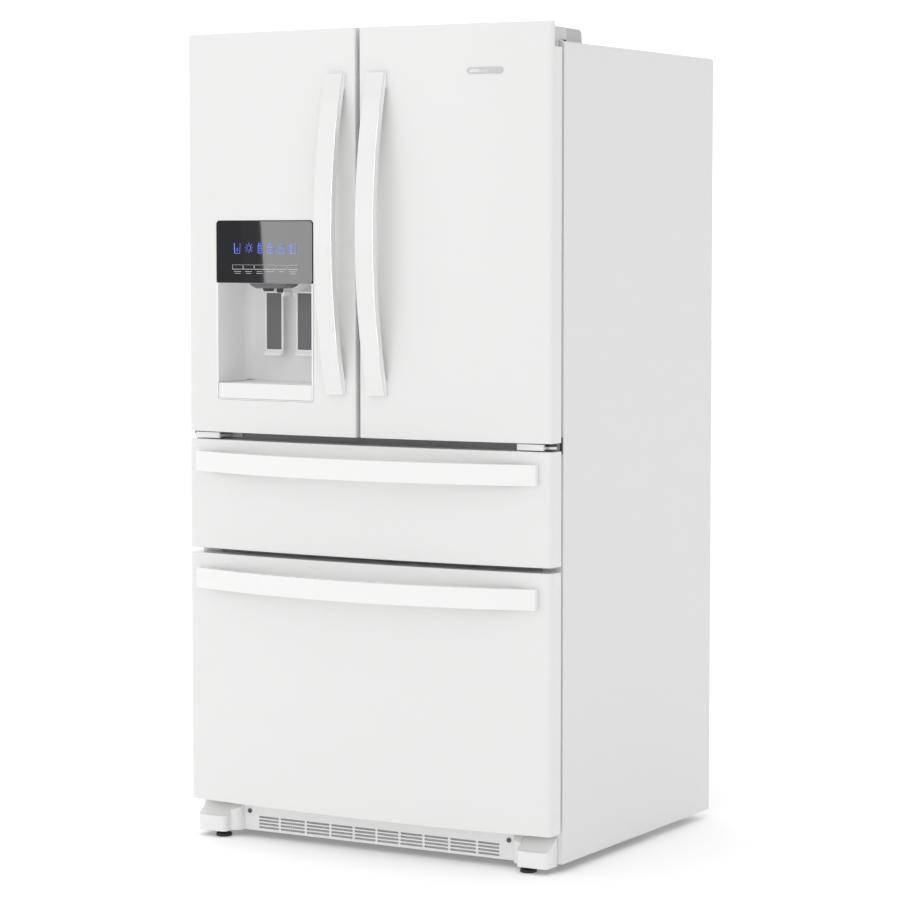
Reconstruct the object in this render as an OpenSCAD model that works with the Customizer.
// French door refrigerator with a middle drawer and a bottom freezer drawer.
// Millimetres, +Z up, front towards -Y. The origin is on the floor, under the
// middle of the whole appliance, handles included.

/* [Cabinet] */
// Width across the cabinet and across the doors
cabinet_w = 905; // [895:1:915]
// Height of the cabinet top above the floor
cabinet_top = 1727; // [1725:1:1735]
// Height of the cabinet sides' lower edge above the floor
cabinet_bottom = 18; // [16:1:20]
// Depth of the cabinet behind its front flange
cabinet_d = 714; // [712:1:730]
// Thickness of the insulated side walls
side_wall = 50; // [48:0.5:52]
// Thickness of the painted steel sheet
skin = 1; // [0.8:0.1:1.2]
// Thickness of the moulded liners
liner_t = 2; // [1.5:0.5:2.5]

/* [Doors and drawer fronts] */
// Height of the doors' top edge
door_top = 1765; // [1762:1:1768]
// Height of the doors' lower edge
door_bottom = 901; // [900:1:902]
// Top of the middle drawer front
drawer_top = 884; // [883:1:885]
// Bottom of the middle drawer front
drawer_bottom = 644; // [643:1:645]
// Top of the freezer front
freezer_top = 633; // [632:1:634]
// Bottom of the freezer front
freezer_bottom = 83; // [82:1:86]
// How far the fronts bow out at the middle of the appliance
front_bow = 26; // [20:1:30]
// Gap between the two doors
door_gap = 10; // [8:1:12]
// Wall of the doors' and drawer fronts' pressed steel
front_skin = 1.2; // [1:0.1:1.5]
// Radius of the fronts' outer upright edges
edge_r = 10; // [8:1:12]

/* [Handles] */
// Width of the handle straps
handle_w = 44; // [40:1:48]
// Thickness of the handle straps
handle_t = 17; // [14:1:18]
// Length of the two door handles
door_handle_l = 678; // [660:2:690]
// Length of the two drawer handles
drawer_handle_l = 848; // [820:2:850]
// How far the handles reach in front of the door line
handle_reach = 84; // [80:1:90]

/* [Door hinges] */
// Distance of the hinge pins from the cabinet side
pin_in = 12; // [11.5:0.5:12.5]
// Distance of the hinge pins behind the door line
pin_back = 24; // [23.5:0.5:24.5]
// Radius of the hinge pins
pin_r = 6; // [5:0.5:6]

/* [Dispenser] */
// Width of the dispenser opening in the left door
dispenser_w = 260; // [256:1:262]
// Bottom of the dispenser
dispenser_bottom = 973; // [972:1:976]
// Top of the dispenser
dispenser_top = 1361; // [1358:1:1364]
// Lower edge of the control panel
panel_bottom = 1230; // [1228:1:1232]
// Depth of the dispenser cavity behind the door line
cavity_back = 112; // [110:1:114]
// Width of a dispenser paddle
paddle_w = 46; // [44:1:48]

/* [Feet and rollers] */
// Radius of a levelling foot
foot_r = 18; // [16:1:20]
// Radius of a rear roller
roller_r = 20; // [19:1:20]

/* [Hidden] */
$fn = 48;
fine = 720;                 // facets of the very large arcs
eps = 0.5;                  // overrun of cutting shapes

half_w = cabinet_w / 2;
door_thick = 45;            // back of the fronts, behind the door line
seal_t = 6.7;               // thickness of the squeezed gaskets
cabinet_front = 52;         // front flange, behind the door line
cabinet_back = cabinet_front + cabinet_d;
door_line_y = (handle_reach - cabinet_back) / 2;
front_r = (half_w * half_w + front_bow * front_bow) / (2 * front_bow);
front_c = front_r - front_bow;

liner_x = half_w - side_wall;
foam_x = half_w - skin;
fresh_floor = 945;
fresh_ceiling = 1680;
fresh_back = 700;
drawer_floor = 668;
drawer_ceiling = 868;
drawer_back = 640;
freezer_floor = 125;
freezer_ceiling = 615;
freezer_back = 625;
base_z = 80;                // underside of the insulation
bay_top = 286;              // machine bay behind the freezer
bay_front = 478;
panel_y = cabinet_back - 4; // outer face of the rear sheets is a little inset

pin_x = half_w - pin_in;
recess_z = 1714;            // floor of the hinge recess in a door top
recess_y = 12;              // thickness of the lip in front of it
recess_w = 120;
liner_inset = 3;

dispenser_x0 = -(dispenser_w / 2 + 242);
dispenser_x1 = dispenser_x0 + dispenser_w;
wall = 4;                   // wall of the dispenser housing
tray_top = 1009;
paddle_y = 82;
paddle_z0 = 1066;
paddle_z1 = 1207;
paddle_pivot = [paddle_y + 4, 1201];
paddle_gap = 81;
water_x = -283;
paddle_pin_r = 2.5;

flipper_x = -18;
flipper_y = 59;
flipper_reach = 48;
flipper_t = 12;
flipper_z0 = 962;
flipper_z1 = 1664;

foot_x = 385;
foot_y = 28;
roller_x = 400;
roller_y = 700;
shelf_z = [1160, 1330, 1480];
shelf_front = 178;
bin_z = [1200, 1370, 1540];

slide_l = 520;
slide_y = 70;
drawer_slide_z = 770;
freezer_slide_z = 470;

fan_x = -115;
fan_y = 650;
fan_z = 128;
cold_fan_y = 640;
cold_fan_z = 560;

// ---------------------------------------------------------------- helpers

module from_door_line() {
    translate([0, door_line_y, 0]) children();
}

module block(lo, hi) {
    translate(lo) cube(hi - lo);
}

module both_sides() {
    children();
    mirror([1, 0, 0]) children();
}

// A flat outline in X and Z, thickened from y0 back to y1
module along_y(y0, y1) {
    translate([0, y1, 0]) rotate([90, 0, 0]) linear_extrude(y1 - y0) children();
}

// A flat outline in Y and Z, thickened from x0 to x1
module along_x(x0, x1) {
    translate([x0, 0, 0]) rotate([90, 0, 90]) linear_extrude(x1 - x0) children();
}

module rod_x(x0, x1, y, z, r) {
    translate([x0, y, z]) rotate([0, 90, 0]) cylinder(h = x1 - x0, r = r);
}

module rod_y(y0, y1, x, z, r) {
    translate([x, y0, z]) rotate([-90, 0, 0]) cylinder(h = y1 - y0, r = r);
}

module rod_z(z0, z1, x, y, r) {
    translate([x, y, z0]) cylinder(h = z1 - z0, r = r);
}

module rect(x0, x1, z0, z1) {
    translate([x0, z0]) square([x1 - x0, z1 - z0]);
}

module round_rect(x0, x1, z0, z1, r) {
    rect(x0 + r, x1 - r, z0, z1);
    rect(x0, x1, z0 + r, z1 - r);
    for (x = [x0 + r, x1 - r])
        for (z = [z0 + r, z1 - r])
            translate([x, z]) circle(r = r);
}

module frame_outline(x0, x1, z0, z1, w) {
    difference() {
        rect(x0, x1, z0, z1);
        rect(x0 + w, x1 - w, z0 + w, z1 - w);
    }
}

// Open-topped tray with walls of thickness t
module open_tray(lo, hi, t) {
    difference() {
        block(lo, hi);
        block(lo + [t, t, t], hi + [-t, -t, eps]);
    }
}

// Everything behind the bowed front surface, set back by inset
module behind_front(z0, z1, inset = 0) {
    translate([0, front_c, z0]) cylinder(h = z1 - z0, r = front_r - inset, $fn = fine);
}

// Plan of a bowed front from x0 to x1, with rounded front corners
module front_plan(x0, x1, r0, r1, back, inset = 0) {
    big = front_r - inset;
    lead = 0.035;           // keeps the corner arcs from meeting the front at a tangent
    a0 = x0 + inset + r0;
    a1 = x1 - inset - r1;
    c0 = front_c - sqrt(big * big - a0 * a0) + r0 * (1 - lead);
    c1 = front_c - sqrt(big * big - a1 * a1) + r1 * (1 - lead);
    intersection() {
        translate([0, front_c]) circle(r = big, $fn = fine);
        union() {
            polygon([
                [x0 + inset, back], [x0 + inset, c0], [a0, c0], [a0, -2 * front_bow],
                [a1, -2 * front_bow], [a1, c1], [x1 - inset, c1], [x1 - inset, back]
            ]);
            translate([a0, c0]) circle(r = r0);
            translate([a1, c1]) circle(r = r1);
        }
    }
}

// ---------------------------------------------------------------- cabinet

module cabinet_outline(inset) {
    r = 8 - inset;
    top = cabinet_top - inset;
    side = half_w - inset;
    rect(-side, side, cabinet_bottom - inset * eps, top - r);
    rect(-side + r, side - r, cabinet_bottom - inset * eps, top);
    for (x = [-side + r, side - r])
        translate([x, top - r]) circle(r = r);
}

module cabinet_shell() {
    color("whitesmoke") from_door_line() {
        along_y(cabinet_front, cabinet_back) difference() {
            cabinet_outline(0);
            cabinet_outline(skin);
        }
        along_y(cabinet_front, cabinet_front + skin) difference() {
            cabinet_outline(0);
            rect(-liner_x - liner_t, liner_x + liner_t, 0, fresh_ceiling + liner_t);
        }
    }
}

module machine_bay_outline() {
    polygon([
        [bay_front, 0], [bay_front, freezer_floor], [bay_front + 32, bay_top],
        [cabinet_back + 1, bay_top], [cabinet_back + 1, 0]
    ]);
}

module freezer_outline(grow) {
    polygon([
        [cabinet_front - grow, freezer_floor - grow], [430 + grow, freezer_floor - grow],
        [470 + grow, 330 - grow], [freezer_back + grow, 330 - grow],
        [freezer_back + grow, freezer_ceiling + grow],
        [cabinet_front - grow, freezer_ceiling + grow]
    ]);
}

module back_panel() {
    color("lightgray") from_door_line() difference() {
        block([-foam_x, panel_y, bay_top + 2], [foam_x, panel_y + skin, cabinet_top - 9]);
        for (z = [560, 1000, 1440])
            along_y(panel_y + skin / 2, panel_y + 2 * skin)
                frame_outline(-380, 380, z - 150, z + 150, 6);
    }
}

module cabinet_foam() {
    color("khaki") from_door_line() difference() {
        along_y(cabinet_front + skin, panel_y) intersection() {
            cabinet_outline(skin);
            rect(-half_w, half_w, base_z, cabinet_top);
        }
        block([-liner_x - liner_t, 0, fresh_floor - liner_t],
              [liner_x + liner_t, fresh_back + liner_t, fresh_ceiling + liner_t]);
        block([-liner_x - liner_t, 0, drawer_floor - liner_t],
              [liner_x + liner_t, drawer_back + liner_t, drawer_ceiling + liner_t]);
        along_x(-liner_x - liner_t, liner_x + liner_t) freezer_outline(liner_t);
        block([-liner_x - liner_t, 0, 0], [liner_x + liner_t, cabinet_front + 15, fresh_floor]);
        along_x(-half_w, half_w) machine_bay_outline();
        block([-262, freezer_back, 336], [262, 702, freezer_ceiling]);
    }
}

module liner_box(back, z0, z1) {
    difference() {
        block([-liner_x - liner_t, cabinet_front, z0 - liner_t],
              [liner_x + liner_t, back + liner_t, z1 + liner_t]);
        block([-liner_x, cabinet_front - 1, z0], [liner_x, back, z1]);
    }
}

module fresh_food_liner() {
    color("white") from_door_line() {
        difference() {
            liner_box(fresh_back, fresh_floor, fresh_ceiling);
            for (z = [1240, 1400, 1560])
                for (x = [-110, 0, 110])
                    block([x - 30, fresh_back - 1, z], [x + 30, fresh_back + 5, z + 8]);
        }
        both_sides() for (z = shelf_z)
            block([liner_x - 8, shelf_front + 6, z - 10], [liner_x, 660, z - 0.2]);
    }
}

module drawer_liner() {
    color("white") from_door_line() liner_box(drawer_back, drawer_floor, drawer_ceiling);
}

module freezer_liner() {
    color("white") from_door_line() difference() {
        along_x(-liner_x - liner_t, liner_x + liner_t) difference() {
            freezer_outline(liner_t);
            rect(0, cabinet_front, 0, freezer_ceiling + 10);
        }
        along_x(-liner_x, liner_x) union() {
            freezer_outline(0);
            rect(0, cabinet_front + 1, freezer_floor, freezer_ceiling);
        }
        rod_y(freezer_back - 1, freezer_back + 5, 0, cold_fan_z, 46);
        for (x = [-150, 0, 150])
            block([x - 50, freezer_back - 1, 345], [x + 50, freezer_back + 5, 357]);
    }
}

module crossbars() {
    x = liner_x + liner_t;
    y0 = cabinet_front;
    y1 = cabinet_front + 15;
    color("dimgray") from_door_line() {
        difference() {
            block([-x, y0, drawer_ceiling + liner_t], [x, y1, fresh_floor - liner_t]);
            block([-x + 3, y0 + 2, drawer_ceiling + 4], [x - 3, y1 + 1, fresh_floor - 4]);
        }
        difference() {
            block([-x, y0, freezer_ceiling + liner_t], [x, y1, drawer_floor - liner_t]);
            block([-x + 3, y0 + 2, freezer_ceiling + 4], [x - 3, y1 + 1, drawer_floor - 4]);
        }
        difference() {
            block([-x, y0, base_z], [x, y1, freezer_floor - liner_t]);
            block([-x + 3, y0 + 2, base_z + 2], [x - 3, y1 + 1, freezer_floor - 4]);
        }
    }
}

module back_bay_sheet(x0, x1) {
    block([x0, panel_y, 40], [x1, panel_y + skin, bay_top]);
}

module rear_cover() {
    color("gray") from_door_line() difference() {
        back_bay_sheet(-foam_x, foam_x);
        for (i = [0:11])
            for (x = [-320, -80])
                block([x, panel_y - 1, 66 + i * 16], [x + 180, panel_y + 3, 71 + i * 16]);
        rod_y(panel_y - 1, panel_y + 3, 330, 225, 11);
    }
}

module base_frame() {
    color("darkgray") from_door_line() {
        block([-foam_x, cabinet_front + 8, base_z - 2], [foam_x, bay_front, base_z]);
        block([-foam_x, bay_front - 2, 36], [foam_x, bay_front, base_z]);
        difference() {
            block([-foam_x, bay_front - 2, 36], [foam_x, panel_y - 1, 38]);
            both_sides()
                block([roller_x - 11, roller_y - 24, 30], [roller_x + 11, roller_y + 24, 50]);
        }
        block([-440, cabinet_front + 8, 34], [440, cabinet_front + 11, base_z]);
        both_sides() {
            block([foam_x - 2, cabinet_front + 8, 26], [foam_x, panel_y - 1, base_z]);
            difference() {
                union() {
                    block([370, 14, 34], [404, cabinet_front + 11, 38]);
                    rod_z(34, 46, foot_x, foot_y, 9);
                }
                rod_z(30, 50, foot_x, foot_y, 5.06);
            }
            for (x = [roller_x - 14, roller_x + 11])
                block([x, roller_y - 22, 12], [x + 3, roller_y + 22, 36]);
            rod_x(roller_x - 14, roller_x + 14, roller_y, roller_r, 4);
        }
    }
}

module base_grille() {
    slots_w = 614;
    columns = 10;
    pitch = slots_w / columns;
    color("whitesmoke") from_door_line() difference() {
        along_y(47, 51) difference() {
            rect(-362, 362, 14, 79);
            translate([0, 14 - 1800]) circle(r = 1803, $fn = fine);
        }
        for (row = [0:3])
            for (i = [0:columns - 1])
                block([-slots_w / 2 + i * pitch + 2, 46, 21.5 + row * 7.6],
                      [-slots_w / 2 + (i + 1) * pitch - 2, 52, 26 + row * 7.6]);
        both_sides() rod_y(46, 52, 328, 58, 3);
    }
}

module foot_covers() {
    color("white") from_door_line() both_sides() difference() {
        along_x(366, 441)
            polygon([[5, 13], [5, 43], [8, 47], [46, 72], [51.5, 74], [51.5, 13]]);
        along_x(368.5, 438.5)
            polygon([[7.5, 12], [7.5, 42.5], [9.5, 45], [47, 69.5], [52, 71.5], [52, 12]]);
    }
}

// Foot pad and threaded stem of one levelling leg
module levelling_leg(side) {
    rod_z(0, 9, side * foot_x, foot_y, foot_r);
    rod_z(9, 15, side * foot_x, foot_y, 8);
    rod_z(15, 50, side * foot_x, foot_y, 5);
}

module left_levelling_leg() {
    color("black") from_door_line() levelling_leg(-1);
}

module right_levelling_leg() {
    color("black") from_door_line() levelling_leg(1);
}

module rear_roller(side) {
    translate([side * roller_x, roller_y, roller_r]) rotate([0, 90, 0])
        rotate_extrude() polygon([
            [4.06, -9], [roller_r - 2, -9], [roller_r, -7],
            [roller_r, 7], [roller_r - 2, 9], [4.06, 9]
        ]);
}

module left_rear_roller() {
    color("dimgray") from_door_line() rear_roller(-1);
}

module right_rear_roller() {
    color("dimgray") from_door_line() rear_roller(1);
}

// ---------------------------------------------------------------- hinges

module top_hinges() {
    color("silver") from_door_line() both_sides() {
        along_z_plate(cabinet_top + 0.2, cabinet_top + 3.2) union() {
            rect(358, pin_x - 6, pin_back, 146);
            rect(372, pin_x, pin_back - 6, 70);
            translate([pin_x, pin_back]) circle(r = 10.5);
        }
        rod_z(recess_z + 0.5, cabinet_top + 1, pin_x, pin_back, 10.5);
        rod_z(recess_z - 24, cabinet_top + 1, pin_x, pin_back, pin_r);
    }
}

// A flat outline in X and Y, thickened from z0 to z1
module along_z_plate(z0, z1) {
    translate([0, 0, z0]) linear_extrude(z1 - z0) children();
}

module hinge_covers() {
    z0 = cabinet_top + 3.5;
    z1 = cabinet_top + 29.5;
    color("silver") from_door_line() both_sides() difference() {
        union() {
            along_x(350, pin_x) polygon([
                [16, z0], [16, z1 - 2], [19, z1], [84, z1], [84, z0]
            ]);
            along_x(352, pin_x - 1) polygon([
                [83, cabinet_top], [83, z1 - 2], [146, z1 - 4], [152, z1 - 8], [154, cabinet_top]
            ]);
        }
        block([352, 18, z0 - 1], [pin_x - 2, 82, z1 - 2]);
        block([354, 81, cabinet_top - 1], [pin_x - 3, 150, z1 - 8]);
    }
}

module centre_hinges() {
    color("silver") from_door_line() both_sides() {
        block([372, 1, 889], [434, cabinet_front, 894]);
        block([372, -1, 886.5], [434, 4, 899]);
        rod_z(889, door_bottom - 0.5, pin_x, pin_back, 10);
        block([430, pin_back - 8, 889], [pin_x, cabinet_front, 894]);
        rod_z(889, door_bottom + 24, pin_x, pin_back, pin_r);
        block([345, cabinet_front - 3, 886], [pin_x, cabinet_front, 899]);
    }
}

// ---------------------------------------------------------------- cooling system

module compressor() {
    color("black") from_door_line() translate([250, 630, 0]) {
        rotate_extrude() polygon([
            [0, 52], [78, 52], [86, 64], [86, 150], [80, 180], [60, 205], [30, 216], [0, 218]
        ]);
        block([-110, -50, 44], [110, 50, 47]);
        for (x = [-95, 95])
            for (y = [-38, 38])
                rod_z(38.2, 44, x, y, 11);
        block([-30, -30, 47], [30, 30, 53]);
        rod_z(190, 250, 40, 20, 4);
        block([84, -35, 90], [112, 35, 150]);
    }
}

module condenser() {
    rows = 5;
    color("dimgray") from_door_line() {
        for (i = [0:rows - 1])
            for (y = [560, 590, 620, 650, 680, 710])
                rod_x(-400, -150, y, 76 + i * 26, 3);
        for (x = [-400:25:-150])
            block([x - 0.6, 552, 66], [x + 0.6, 718, 190]);
        difference() {
            block([-130, 552, 38], [-100, 746, 212]);
            rod_x(-131, -99, fan_y, fan_z, 76);
        }
        block([-404, 552, 60], [-400, 718, 196]);
        block([-404, 552, 60], [-100, 560, 66]);
        block([-404, 710, 60], [-100, 718, 66]);
        rod_x(-42, -16, fan_y, fan_z, 26);
        rod_x(fan_x - 6, -41, fan_y, fan_z, 3);
        block([-24, fan_y - 8, 38], [-18, fan_y + 8, fan_z]);
    }
}

module fan_blades(radius, hub, width, bore) {
    difference() {
        union() {
            cylinder(h = width, r = hub, center = true);
            for (a = [0:72:288])
                rotate([0, 0, a]) translate([hub - 2, 0, 0]) rotate([34, 0, 0])
                    translate([0, -radius * 0.26, -0.75])
                        cube([radius - hub, radius * 0.52, 1.5]);
        }
        cylinder(h = width * 2, r = bore, center = true);
    }
}

module condenser_fan() {
    color("gray") from_door_line() translate([fan_x, fan_y, fan_z]) rotate([0, 90, 0])
        fan_blades(70, 16, 18, 3.06);
}

module evaporator() {
    color("silver") from_door_line() {
        for (i = [0:4])
            for (y = [650, 675])
                rod_x(-236, 236, y, 360 + i * 26, 4);
        for (x = [-234:26:234])
            block([x - 0.5, 640, 348], [x + 0.5, 685, 476]);
        rod_y(660, 690, 0, cold_fan_z, 20);
        rod_y(632, 661, 0, cold_fan_z, 3);
        block([-6, 686, 476], [6, 690, cold_fan_z]);
        block([-6, 680, 464], [6, 690, 480]);
    }
}

module evaporator_fan() {
    color("gray") from_door_line() translate([0, cold_fan_y, cold_fan_z]) rotate([90, 0, 0])
        fan_blades(42, 12, 14, 3.06);
}

module drain_pan() {
    color("black") from_door_line()
        open_tray([-380, 540, 38.2], [-140, 720, 58], 2);
}

module power_inlet() {
    color("black") from_door_line() difference() {
        union() {
            rod_y(panel_y - 12, panel_y + 1.5, 330, 225, 10.5);
            rod_y(panel_y + skin, panel_y + 4, 330, 225, 15);
            rod_y(panel_y - 14, panel_y - 0.2, 330, 225, 13.5);
        }
        rod_y(panel_y - 20, panel_y + 10, 330, 225, 4);
    }
}

module screws() {
    color("dimgray") from_door_line() {
        both_sides() {
            rod_y(44.6, 47, 328, 58, 5);
            rod_y(47, 60, 328, 58, 2.5);
            for (z = [56, 160, 270, 300, 640, 980, 1320, 1700])
                rod_y(panel_y + skin, panel_y + 3, 440, z, 5);
        }
        for (x = [-240, -40, 160, 400])
            rod_y(panel_y + skin, panel_y + 3, x, bay_top - 6, 5);
    }
}

// ---------------------------------------------------------------- fresh food space

module glass_shelves() {
    color("lightcyan") from_door_line() for (z = shelf_z)
        along_z_plate(z, z + 5)
            round_rect(-liner_x + 1, liner_x - 1, shelf_front, 655, 12);
}

module ice_maker() {
    color("white") from_door_line() difference() {
        union() {
            block([-liner_x + 1, 190, 1510], [-215, 600, 1679]);
            along_x(-liner_x + 1, -215)
                polygon([[150, 1679], [150, 1660], [190, 1560], [190, 1679]]);
        }
        block([-liner_x + 5, 230, 1514], [-219, 596, 1675]);
        block([-380, 180, 1530], [-240, 240, 1600]);
    }
}

module crisper(x0, x1) {
    open_tray([x0, shelf_front + 8, fresh_floor + 3], [x1, 640, 1140], 3);
    difference() {
        block([x0, shelf_front, fresh_floor + 3], [x1, shelf_front + 8, 1146]);
        block([x0 + 30, shelf_front - 1, 1118], [x1 - 30, shelf_front + 5, 1136]);
    }
}

module left_crisper() {
    color("azure") from_door_line() crisper(-liner_x + 10, -4);
}

module right_crisper() {
    color("azure") from_door_line() crisper(4, liner_x - 10);
}

// ---------------------------------------------------------------- doors

// The pressed steel of one door, drawn as the right-hand one
module door_skin() {
    x0 = door_gap / 2;
    difference() {
        translate([0, 0, door_bottom]) linear_extrude(door_top - door_bottom)
            front_plan(x0, half_w, 4, edge_r, door_thick - liner_t);
        difference() {
            translate([0, 0, door_bottom + front_skin])
                linear_extrude(door_top - door_bottom - 2 * front_skin)
                    front_plan(x0, half_w, 3, edge_r - front_skin, door_thick, front_skin);
            block([half_w - recess_w - front_skin, recess_y - front_skin, recess_z - front_skin],
                  [half_w, door_thick + 1, door_top]);
            rod_z(recess_z - 40, recess_z, pin_x, pin_back, 10);
            rod_z(door_bottom, door_bottom + 40, pin_x, pin_back, 10);
        }
        block([half_w - recess_w, recess_y, recess_z], [half_w + 1, door_thick + 1, door_top + 1]);
        rod_z(recess_z - 30, recess_z + 1, pin_x, pin_back, pin_r + 0.06);
        rod_z(door_bottom - 1, door_bottom + 30, pin_x, pin_back, pin_r + 0.06);
    }
}

// Back plate and raised dike of one door, drawn as the right-hand one
module door_inner() {
    x0 = door_gap / 2 + liner_inset;
    x1 = half_w - liner_inset;
    difference() {
        union() {
            block([x0, door_thick - liner_t, door_bottom + 3], [x1, door_thick, door_top - 3]);
            along_y(door_thick, 80) difference() {
                round_rect(36, 396, 955, 1670, 14);
                round_rect(56, 376, 975, 1650, 8);
            }
        }
        block([half_w - recess_w - 2, recess_y, recess_z - 2], [half_w, door_thick + 1, door_top]);
    }
}

module door_seal() {
    along_y(door_thick, door_thick + seal_t) frame_outline(9, 424, 911, 1704, 15);
}

module door_handle(side) {
    x = side * 51.3;
    z_mid = 1330.5;
    half = door_handle_l / 2;
    rise = 46;
    r_out = (half * half + rise * rise) / (2 * rise);
    face = handle_reach - rise;
    difference() {
        along_x(x - handle_w / 2, x + handle_w / 2) union() {
            intersection() {
                rect(-handle_reach - 1, 0, z_mid - half, z_mid + half);
                translate([r_out - handle_reach, z_mid]) difference() {
                    circle(r = r_out, $fn = fine);
                    circle(r = r_out - handle_t, $fn = fine);
                }
            }
            for (s = [-1, 1])
                rect(-face - 1, -20, z_mid + s * (half - 17) - 17, z_mid + s * (half - 17) + 17);
        }
        behind_front(door_bottom, door_top, -0.1);
    }
}

module door_bin(x0, x1, z) {
    open_tray([x0, 82, z], [x1, 148, z + 85], 2.5);
    block([x0, 70, z], [x0 + 2.5, 84, z + 60]);
    block([x1 - 2.5, 70, z], [x1, 84, z + 60]);
    block([x0 + 30, door_thick + 0.2, z + 20], [x1 - 30, 83, z + 24]);
}

module dispenser_hole(grow, z0 = dispenser_bottom) {
    along_y(-60, cavity_back + 20) round_rect(dispenser_x0 - grow, dispenser_x1 + grow,
                                              z0 - grow, dispenser_top + grow, 8);
}

module left_door_panel() {
    color("white") from_door_line() difference() {
        mirror([1, 0, 0]) door_skin();
        dispenser_hole(0.5);
    }
}

module left_door_liner() {
    color("white") from_door_line() {
        difference() {
            mirror([1, 0, 0]) door_inner();
            dispenser_hole(0.5);
        }
        for (z = [flipper_z0 - 8.5, flipper_z1 + 0.5])
            difference() {
                union() {
                    block([-42, door_thick, z], [-26, 53, z + 8]);
                    block([-42, 53, z], [flipper_x, flipper_y + 6, z + 8]);
                    rod_z(z, z + 8, flipper_x, flipper_y, 6);
                }
                rod_z(z - 1, z + 9, flipper_x, flipper_y, 3.06);
            }
    }
}

module left_door_gasket() {
    color("gainsboro") from_door_line() mirror([1, 0, 0]) door_seal();
}

module left_door_handle() {
    color("white") from_door_line() door_handle(-1);
}

module left_door_bins() {
    color("azure") from_door_line() for (z = [1400, 1540])
        door_bin(-374, -58, z);
}

module mullion_flipper() {
    color("white") from_door_line() {
        block([flipper_x - flipper_t / 2, flipper_y, flipper_z0],
              [flipper_x + flipper_t / 2, flipper_y + flipper_reach, flipper_z1]);
        rod_z(flipper_z0, flipper_z1, flipper_x, flipper_y, flipper_t / 2);
        rod_z(flipper_z0 - 8, flipper_z1 + 8, flipper_x, flipper_y, 3);
    }
}

module right_door_panel() {
    color("white") from_door_line() door_skin();
}

module right_door_liner() {
    color("white") from_door_line() door_inner();
}

module right_door_gasket() {
    color("gainsboro") from_door_line() door_seal();
}

module right_door_handle() {
    color("white") from_door_line() door_handle(1);
}

module right_door_bins() {
    color("azure") from_door_line() for (z = bin_z)
        door_bin(58, 374, z);
}

// ---------------------------------------------------------------- dispenser

module dispenser_panel() {
    color("black") from_door_line() difference() {
        intersection() {
            along_y(-60, 20) round_rect(dispenser_x0 + 1, dispenser_x1 - 1,
                                        panel_bottom, dispenser_top - 1, 7);
            behind_front(panel_bottom, dispenser_top, -1.5);
        }
        translate([0, 0, panel_bottom + 3])
            intersection() {
                behind_front(0, dispenser_top - panel_bottom - 7, 4);
                block([dispenser_x0 + 4, -60, 0],
                      [dispenser_x1 - 4, 30, dispenser_top - panel_bottom - 7]);
            }
    }
}

module dispenser_housing() {
    x0 = dispenser_x0;
    x1 = dispenser_x1;
    color("white") from_door_line() {
        difference() {
            intersection() {
                along_y(-60, cavity_back + wall)
                    round_rect(x0, x1, dispenser_bottom, dispenser_top, 7.5);
                behind_front(dispenser_bottom, dispenser_top, -0.8);
            }
            along_y(-61, cavity_back) round_rect(x0 + wall, x1 - wall,
                                                 tray_top + 1, panel_bottom - 4, 6);
            block([x0 - 1, -61, panel_bottom - 0.5], [x1 + 1, 20.5, dispenser_top + 1]);
            block([x0 + wall, 20, panel_bottom], [x1 - wall, cavity_back, dispenser_top - wall]);
            block([x0 + wall - 1, -61, dispenser_bottom + 2], [x1 - wall + 1, 84, tray_top + 2]);
        }
        for (i = [0, 1])
            for (s = [-1, 1])
                difference() {
                    translate([water_x + i * paddle_gap + s * (paddle_w / 2 + 3.5), 0, 0])
                        block([-3, paddle_pivot[0] - 5, paddle_pivot[1] - 5],
                              [3, cavity_back + 1, paddle_pivot[1] + 5]);
                    rod_x(-400, -100, paddle_pivot[0], paddle_pivot[1], paddle_pin_r + 0.06);
                }
    }
}

module dispenser_spout() {
    color("dimgray") from_door_line() {
        along_y(-4, 46) polygon([
            [-292, panel_bottom - 4], [-192, panel_bottom - 4],
            [-206, panel_bottom - 15], [-278, panel_bottom - 15]
        ]);
        rod_z(panel_bottom - 24, panel_bottom - 14, -202 - 25, 22, 6);
        rod_z(panel_bottom - 20, panel_bottom - 14, -257, 22, 10);
    }
}

module paddle(x) {
    y = paddle_pivot[0];
    z = paddle_pivot[1];
    difference() {
        union() {
            along_y(paddle_y, paddle_y + 6)
                round_rect(x - paddle_w / 2, x + paddle_w / 2, paddle_z0, paddle_z1, 5);
            along_x(x - paddle_w / 2 + 2, x + paddle_w / 2 - 2)
                polygon([
                    [paddle_y, paddle_z0 + 12], [paddle_y - 7, paddle_z0 + 3],
                    [paddle_y - 7, paddle_z0], [paddle_y, paddle_z0]
                ]);
            rod_x(x - paddle_w / 2, x + paddle_w / 2, y, z, 4);
        }
        along_y(paddle_y - 1, paddle_y + 1.5) round_rect(
            x - paddle_w / 2 + 4, x + paddle_w / 2 - 4, paddle_z0 + 14, paddle_z1 - 6, 3);
    }
    rod_x(x - paddle_w / 2 - 5, x + paddle_w / 2 + 5, y, z, paddle_pin_r);
}

module water_paddle() {
    color("gray") from_door_line() paddle(water_x);
}

module ice_paddle() {
    color("gray") from_door_line() paddle(water_x + paddle_gap);
}

module drip_tray() {
    x0 = dispenser_x0 + wall;
    x1 = dispenser_x1 - wall;
    z0 = dispenser_bottom + 2.6;
    color("white") from_door_line() difference() {
        intersection() {
            block([x0, -60, z0], [x1, 82, tray_top]);
            behind_front(dispenser_bottom, dispenser_top, -0.8);
        }
        block([x0 + 4, -8, z0 + 3], [x1 - 4, 78, tray_top - 5]);
        for (i = [0:9])
            block([x0 + 12, i * 8 - 2, tray_top - 6], [x1 - 12, i * 8 + 2, tray_top + 1]);
    }
}

// ---------------------------------------------------------------- drawers

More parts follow.
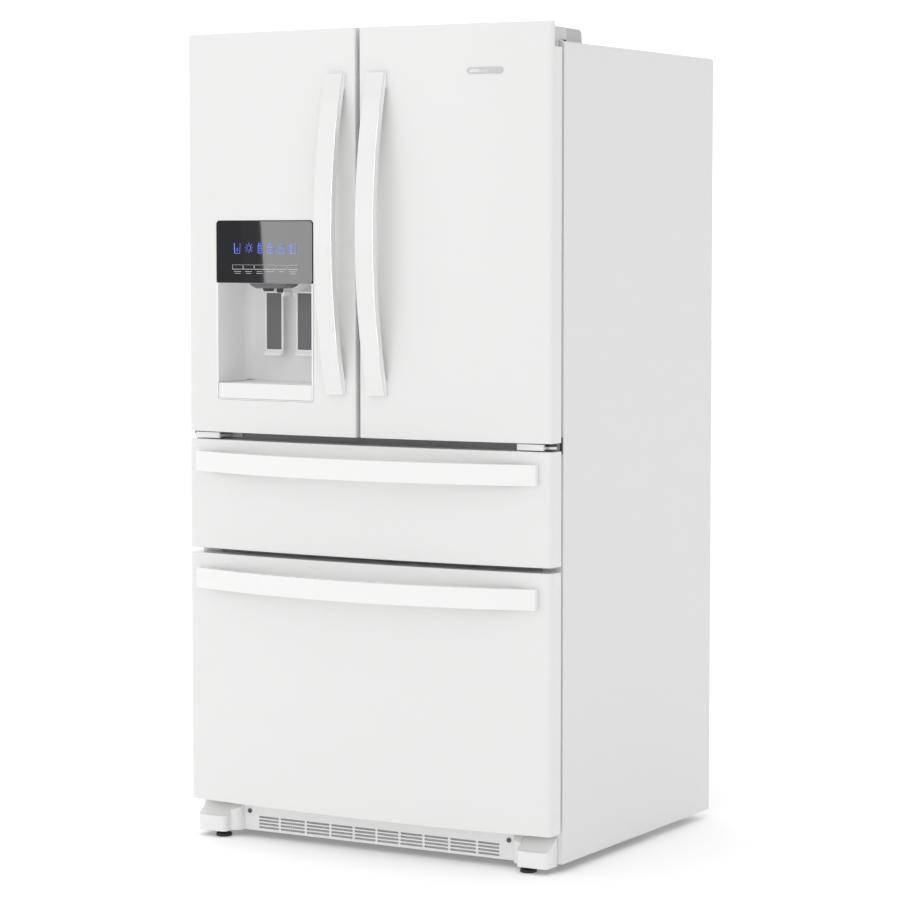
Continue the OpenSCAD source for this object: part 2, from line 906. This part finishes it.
// Closed steel front of a drawer, with two foam-filling holes in its back
module drawer_shell(z0, z1) {
    difference() {
        translate([0, 0, z0]) linear_extrude(z1 - z0)
            front_plan(-half_w, half_w, edge_r, edge_r, door_thick);
        translate([0, 0, z0 + front_skin]) linear_extrude(z1 - z0 - 2 * front_skin)
            front_plan(-half_w, half_w, edge_r - front_skin, edge_r - front_skin,
                       door_thick - front_skin, front_skin);
        both_sides() rod_y(door_thick - 3, door_thick + 1, 300, (z0 + z1) / 2, 8);
    }
}

module drawer_handle_bar(z) {
    half = drawer_handle_l / 2;
    rise = 67;
    r_out = (half * half + rise * rise) / (2 * rise);
    face = handle_reach - rise;
    difference() {
        translate([0, 0, z - handle_w / 2]) linear_extrude(handle_w) union() {
            intersection() {
                rect(-half, half, -handle_reach - 1, 0);
                translate([0, r_out - handle_reach]) difference() {
                    circle(r = r_out, $fn = fine);
                    circle(r = r_out - handle_t, $fn = fine);
                }
            }
            for (s = [-1, 1])
                rect(s * (half - 17) - 17, s * (half - 17) + 17, -face - 3, 0);
        }
        behind_front(z - handle_w, z + handle_w, -0.1);
    }
}

// A C-section slide member against the right-hand wall, open towards the drawer
module slide_member(outer, reach, half_h, z) {
    t = 1.8;
    difference() {
        block([outer - reach, slide_y, z - half_h], [outer, slide_y + slide_l, z + half_h]);
        block([outer - reach - 1, slide_y - 1, z - half_h + t],
              [outer - t, slide_y + slide_l + 1, z + half_h - t]);
    }
}

module fixed_slides() {
    color("silver") from_door_line() both_sides() for (z = [drawer_slide_z, freezer_slide_z])
        slide_member(liner_x - 0.2, 16, 24, z);
}

module mid_slides(z) {
    both_sides() slide_member(liner_x - 2.6, 14, 21.6, z);
}

module inner_rails(z) {
    both_sides() {
        slide_member(liner_x - 5, 13, 19.2, z);
        block([liner_x - 28, slide_y, z - 19.2], [liner_x - 17, slide_y + slide_l, z - 17.2]);
        block([liner_x - 30, door_thick, z - 19.2], [liner_x - 5, door_thick + 2.5, z + 19.2]);
        block([liner_x - 20, door_thick, z - 19.2], [liner_x - 17, slide_y + 1, z + 19.2]);
    }
}

module drawer_front() {
    color("white") from_door_line() drawer_shell(drawer_bottom, drawer_top);
}

module drawer_gasket() {
    color("gainsboro") from_door_line() along_y(door_thick, door_thick + seal_t)
        frame_outline(-422, 422, 650, 880, 13);
}

module drawer_handle() {
    color("white") from_door_line() drawer_handle_bar(836);
}

module drawer_pan() {
    x = liner_x - 30;
    color("azure") from_door_line() {
        open_tray([-x, 62, 678], [x, 600, 842], 3);
        both_sides() block([x, 74, drawer_slide_z - 17.2], [x + 10, 585, drawer_slide_z - 12]);
    }
}

module drawer_rails() {
    color("silver") from_door_line() inner_rails(drawer_slide_z);
}

module drawer_mid_slides() {
    color("silver") from_door_line() mid_slides(drawer_slide_z);
}

module freezer_front() {
    color("white") from_door_line() drawer_shell(freezer_bottom, freezer_top);
}

module freezer_gasket() {
    color("gainsboro") from_door_line() along_y(door_thick, door_thick + seal_t)
        frame_outline(-422, 422, 104, 630, 13);
}

module freezer_handle() {
    color("white") from_door_line() drawer_handle_bar(578.5);
}

module freezer_basket() {
    x = liner_x - 30;
    z_rim = freezer_slide_z - 12;
    color("azure") from_door_line() {
        difference() {
            along_x(-x, x) polygon([
                [62, 134], [408, 134], [448, 342], [590, 342], [590, z_rim], [62, z_rim]
            ]);
            along_x(-x + 3, x - 3) polygon([
                [65, 137], [405.5, 137], [445.5, 345], [587, 345], [587, z_rim + 1], [65, z_rim + 1]
            ]);
        }
        both_sides() block([x, 74, freezer_slide_z - 17.2], [x + 10, 585, z_rim]);
    }
}

module freezer_rails() {
    color("silver") from_door_line() inner_rails(freezer_slide_z);
}

module freezer_mid_slides() {
    color("silver") from_door_line() mid_slides(freezer_slide_z);
}

// ---------------------------------------------------------------- parts

cabinet_shell();
back_panel();
cabinet_foam();
fresh_food_liner();
drawer_liner();
freezer_liner();
crossbars();
base_frame();
base_grille();
foot_covers();
rear_cover();
top_hinges();
hinge_covers();
centre_hinges();
compressor();
condenser();
evaporator();
drain_pan();
power_inlet();
screws();
glass_shelves();
ice_maker();
fixed_slides();
condenser_fan();
evaporator_fan();
left_crisper();
right_crisper();
left_levelling_leg();
right_levelling_leg();
left_rear_roller();
right_rear_roller();
left_door_panel();
left_door_liner();
left_door_gasket();
left_door_handle();
left_door_bins();
dispenser_panel();
dispenser_housing();
dispenser_spout();
water_paddle();
ice_paddle();
drip_tray();
mullion_flipper();
right_door_panel();
right_door_liner();
right_door_gasket();
right_door_handle();
right_door_bins();
drawer_front();
drawer_gasket();
drawer_handle();
drawer_pan();
drawer_rails();
drawer_mid_slides();
freezer_front();
freezer_gasket();
freezer_handle();
freezer_basket();
freezer_rails();
freezer_mid_slides();
